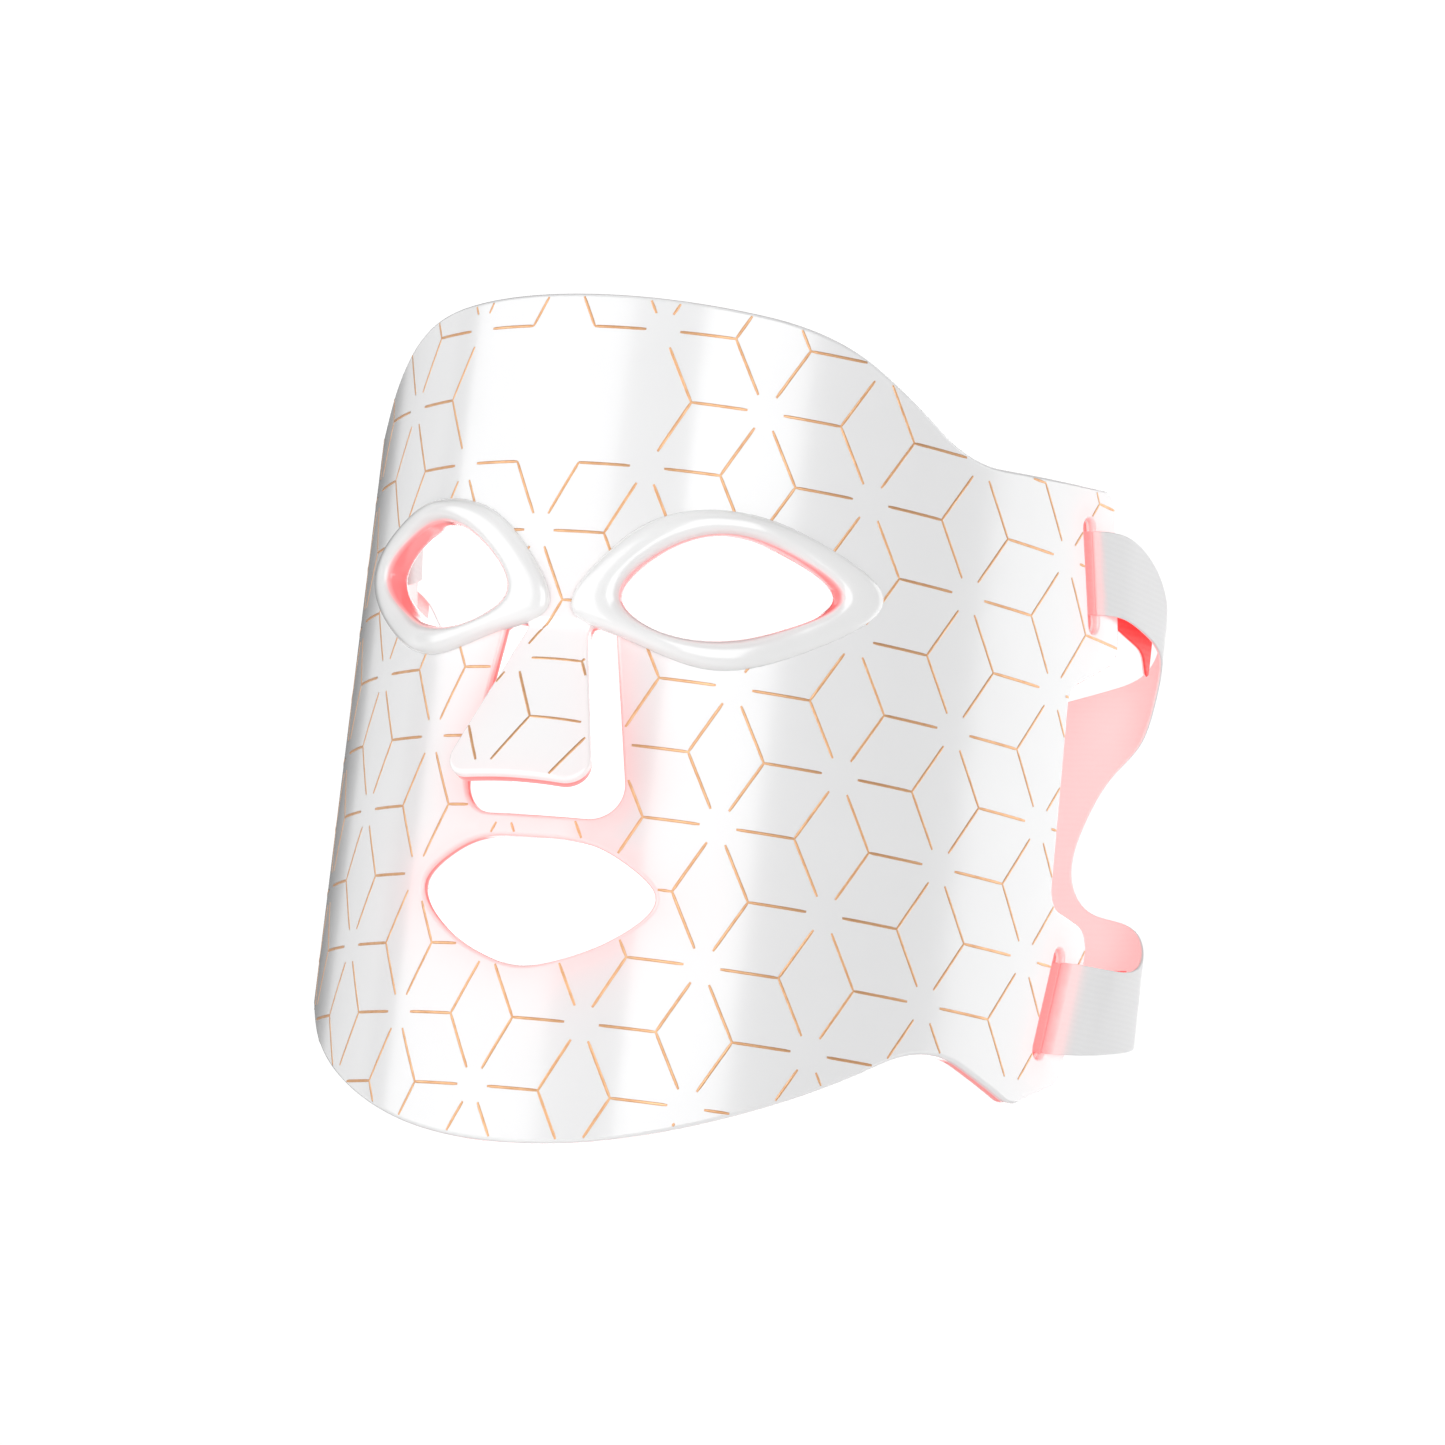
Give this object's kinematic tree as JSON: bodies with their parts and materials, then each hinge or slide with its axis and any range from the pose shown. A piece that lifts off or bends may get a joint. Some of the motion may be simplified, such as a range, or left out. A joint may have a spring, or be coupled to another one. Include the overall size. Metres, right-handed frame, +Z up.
{
  "type": "led face mask",
  "caption": "Soft light-therapy face mask: curved layered silicone shell with lights inside, raised eye rims, hinged nose flap, flexing side wings and a four-armed head strap.",
  "frame": {"origin": "on the face side of the liner, on the centre line, at the height of the eyes", "axes": "+Z up, -Y the way the wearer looks, +X the wearer's left; +Y points into the face"},
  "size_m": [0.1756, 0.1599, 0.175],
  "materials": {
    "white_silicone": "glossy moulded silicone",
    "clear_silicone": "translucent satin silicone",
    "rim_silicone": "glossy moulded silicone",
    "circuit_film": "thin film with copper tracks",
    "led_lens": "clear lens, lit",
    "plate_plastic": "moulded",
    "webbing": "smooth knitted elastic",
    "hook_and_loop": "short pile",
    "board": "solder mask",
    "chip_plastic": "moulded epoxy",
    "capacitor_ceramic": "fired",
    "socket_steel": "stamped",
    "tongue_plastic": "moulded"
  },
  "bodies": {
    "mask_front": {"outer_shell_front": "white_silicone", "inner_liner_front": "clear_silicone", "flex_circuit_front": "circuit_film", "leds_forehead": "led_lens", "leds_cheeks": "led_lens", "leds_chin": "led_lens", "eye_rim_left": "rim_silicone", "eye_rim_right": "rim_silicone"},
    "nose_flap": {"nose_flap_shell": "white_silicone", "nose_flap_liner": "clear_silicone", "nose_flap_circuit": "circuit_film", "nose_flap_leds": "led_lens"},
    "left_wing": {"outer_shell_left_wing": "white_silicone", "inner_liner_left_wing": "clear_silicone", "flex_circuit_left_wing": "circuit_film", "leds_left_wing": "led_lens", "slot_plates_left": "plate_plastic", "strap_loops_left": "webbing"},
    "right_wing": {"outer_shell_right_wing": "white_silicone", "inner_liner_right_wing": "clear_silicone", "flex_circuit_right_wing": "circuit_film", "leds_right_wing": "led_lens", "slot_plates_right": "plate_plastic", "strap_loops_right": "webbing", "driver_board": "board", "driver_chips": "chip_plastic", "board_capacitors": "capacitor_ceramic", "usb_socket_shell": "socket_steel", "usb_socket_tongue": "tongue_plastic"},
    "head_strap": {"head_strap": "webbing", "strap_loop_pads": "hook_and_loop"},
    "upper_left_tail": {"upper_left_tail": "webbing", "upper_left_hook_pad": "hook_and_loop"},
    "lower_left_tail": {"lower_left_tail": "webbing", "lower_left_hook_pad": "hook_and_loop"},
    "upper_right_tail": {"upper_right_tail": "webbing", "upper_right_hook_pad": "hook_and_loop"},
    "lower_right_tail": {"lower_right_tail": "webbing", "lower_right_hook_pad": "hook_and_loop"}
  },
  "joints": [
    {"name": "nose_flap_flex", "type": "hinge", "parent": "mask_front", "child": "nose_flap", "pos_m": [0, -0.0017, -0.0117], "axis": [-1, 0, 0], "range_deg": [-25, 15], "stiffness_Nm_per_rad": 0.05},
    {"name": "left_wing_flex", "type": "hinge", "parent": "mask_front", "child": "left_wing", "pos_m": [0.05864, 0.03516, -0.03], "axis": [0, 0, -1], "range_deg": [0, 15], "stiffness_Nm_per_rad": 0.1},
    {"name": "right_wing_flex", "type": "hinge", "parent": "mask_front", "child": "right_wing", "pos_m": [-0.05864, 0.03516, -0.03], "axis": [0, 0, 1], "range_deg": [0, 15], "stiffness_Nm_per_rad": 0.1},
    {"name": "strap_swing", "type": "hinge", "parent": "left_wing", "child": "head_strap", "pos_m": [0.0863, 0.1051, -0.0272], "axis": [0, 0, -1], "range_deg": [0, 95], "stiffness_Nm_per_rad": 0.002},
    {"name": "upper_left_tail_peel", "type": "hinge", "parent": "head_strap", "child": "upper_left_tail", "pos_m": [0.08039, 0.10398, 0.02595], "axis": [-0.0499, -0.2965, 0.9537], "range_deg": [0, 70], "stiffness_Nm_per_rad": 0.0005},
    {"name": "lower_left_tail_peel", "type": "hinge", "parent": "head_strap", "child": "lower_left_tail", "pos_m": [0.08057, 0.10549, -0.07425], "axis": [0.0352, 0.2205, 0.9748], "range_deg": [0, 70], "stiffness_Nm_per_rad": 0.0005},
    {"name": "upper_right_tail_peel", "type": "hinge", "parent": "right_wing", "child": "upper_right_tail", "pos_m": [-0.08581, 0.10307, 0.02595], "axis": [0.0499, -0.2965, 0.9537], "range_deg": [0, 80], "stiffness_Nm_per_rad": 0.0005},
    {"name": "lower_right_tail_peel", "type": "hinge", "parent": "right_wing", "child": "lower_right_tail", "pos_m": [-0.086, 0.10462, -0.07425], "axis": [-0.0352, 0.2205, 0.9748], "range_deg": [0, 80], "stiffness_Nm_per_rad": 0.0005}
  ]
}
